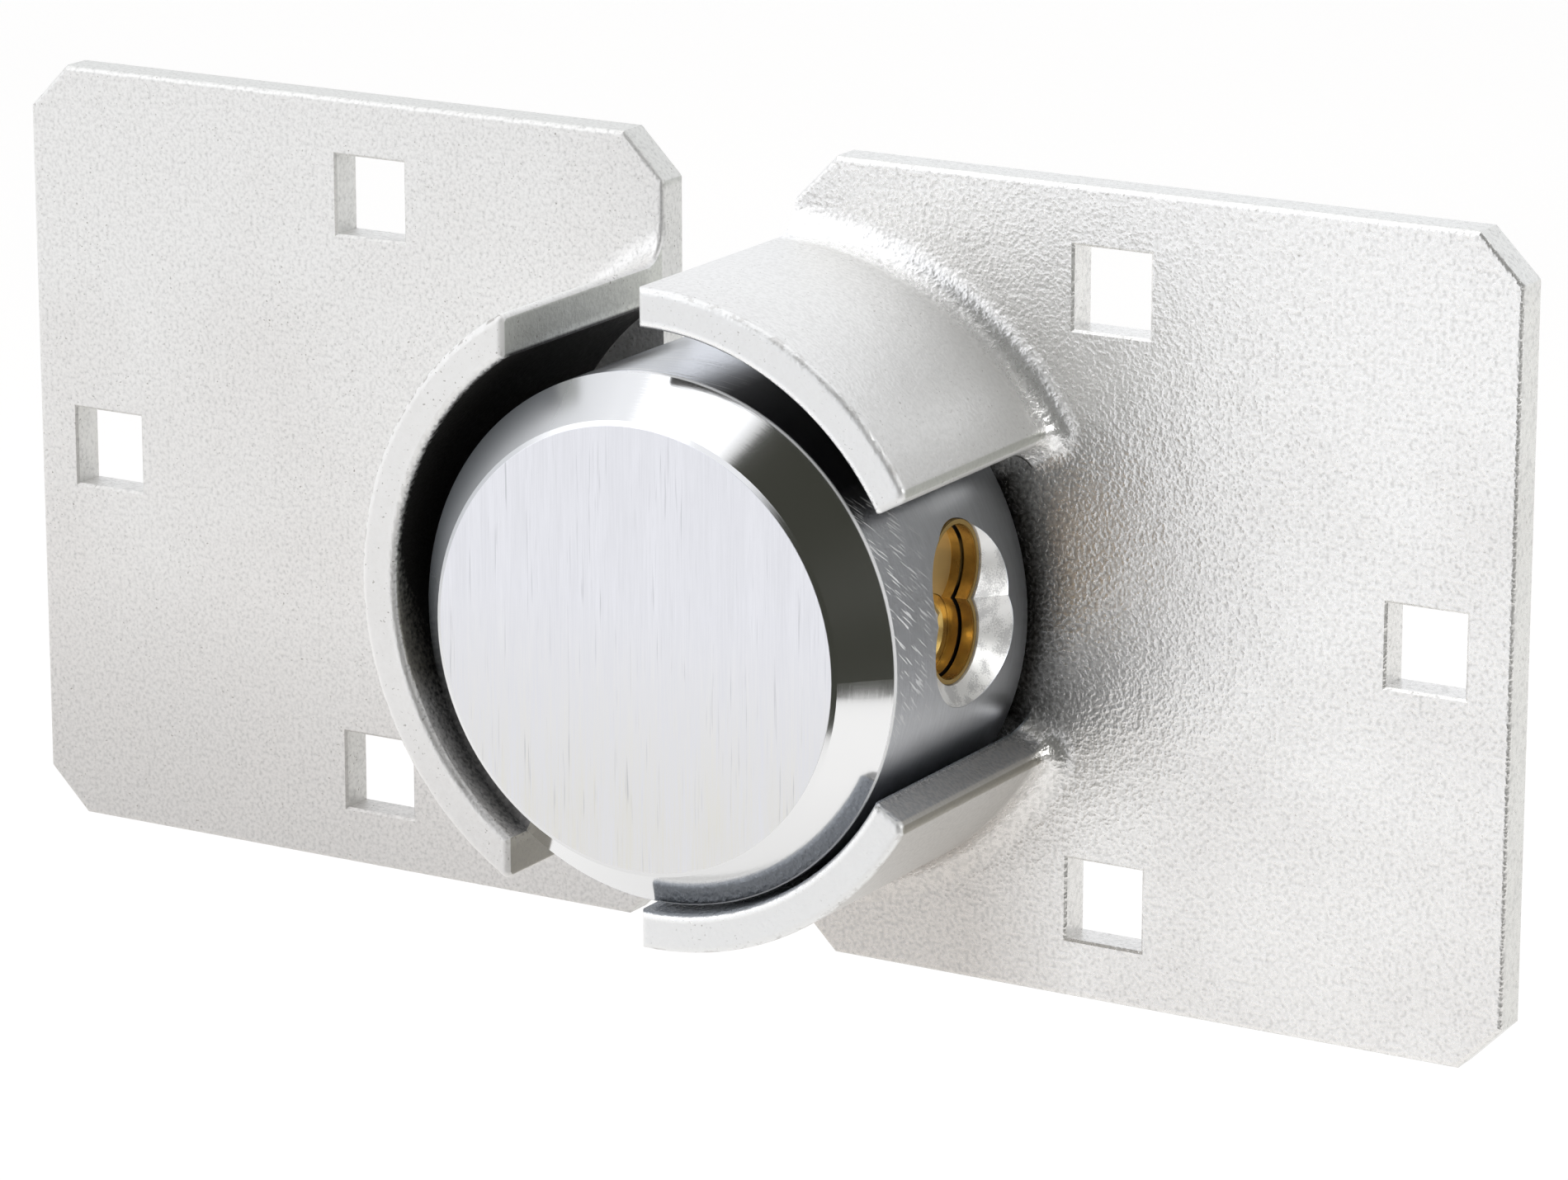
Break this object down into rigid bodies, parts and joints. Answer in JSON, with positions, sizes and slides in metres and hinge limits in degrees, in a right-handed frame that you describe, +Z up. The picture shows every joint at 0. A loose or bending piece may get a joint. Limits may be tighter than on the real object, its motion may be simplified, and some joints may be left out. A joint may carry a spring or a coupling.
{
  "type": "truck door lock",
  "caption": "Round hidden-shackle padlock closed on a two-plate forged hasp with guard walls, for the rear doors of a van or truck.",
  "frame": {"origin": "on the guard's axis at the door face, in the plane of the two plates' flat backs, at the inner edge of the right plate", "axes": "+X from the left plate to the right plate, +Y into the door, +Z up"},
  "size_m": [0.2396, 0.0492, 0.1142],
  "materials": {
    "left_hasp_steel": "zinc plated, fine grain",
    "right_hasp_steel": "zinc plated, coarse forged grain",
    "body_steel": "brushed front, polished chamfer",
    "brass": "turned",
    "hardened_steel": "ground",
    "screw_steel": "black oxide",
    "spring_steel": "drawn wire"
  },
  "bodies": {
    "hasp_and_body": {"left_hasp": "left_hasp_steel", "right_hasp": "right_hasp_steel", "lock_body": "body_steel", "stop_screw": "screw_steel"},
    "carriage": {"shackle_carrier": "hardened_steel", "shackle_pin": "hardened_steel", "cylinder_shell": "brass", "chamber_cover": "brass", "carrier_screws": "screw_steel", "dog_spring": "spring_steel", "driver_pin_1": "brass", "driver_pin_2": "brass", "driver_pin_3": "brass", "driver_pin_4": "brass", "driver_pin_5": "brass", "pin_spring_1": "spring_steel", "pin_spring_2": "spring_steel", "pin_spring_3": "spring_steel", "pin_spring_4": "spring_steel", "pin_spring_5": "spring_steel"},
    "plug": {"cylinder_plug": "brass", "plug_cam": "hardened_steel", "cam_screw": "screw_steel", "key_pin_1": "brass", "key_pin_2": "brass", "key_pin_3": "brass", "key_pin_4": "brass", "key_pin_5": "brass"},
    "dog": {"locking_dog": "hardened_steel"}
  },
  "joints": [
    {"name": "shackle_slide", "type": "slide", "parent": "hasp_and_body", "child": "carriage", "axis": [1, 0, 0], "range_m": [0, 0.023]},
    {"name": "plug_turn", "type": "hinge", "parent": "carriage", "child": "plug", "pos_m": [0.02, -0.0215, -0.003], "axis": [1, 0, 0], "range_deg": [0, 90]},
    {"name": "dog_draw", "type": "slide", "parent": "carriage", "child": "dog", "axis": [0, 0, 1], "range_m": [0, 0.0026], "deforming": ["dog_spring"]}
  ],
  "couplings": [
    {"joint": "dog_draw", "follows": "plug_turn", "m_per_rad": 0.0016552}
  ]
}
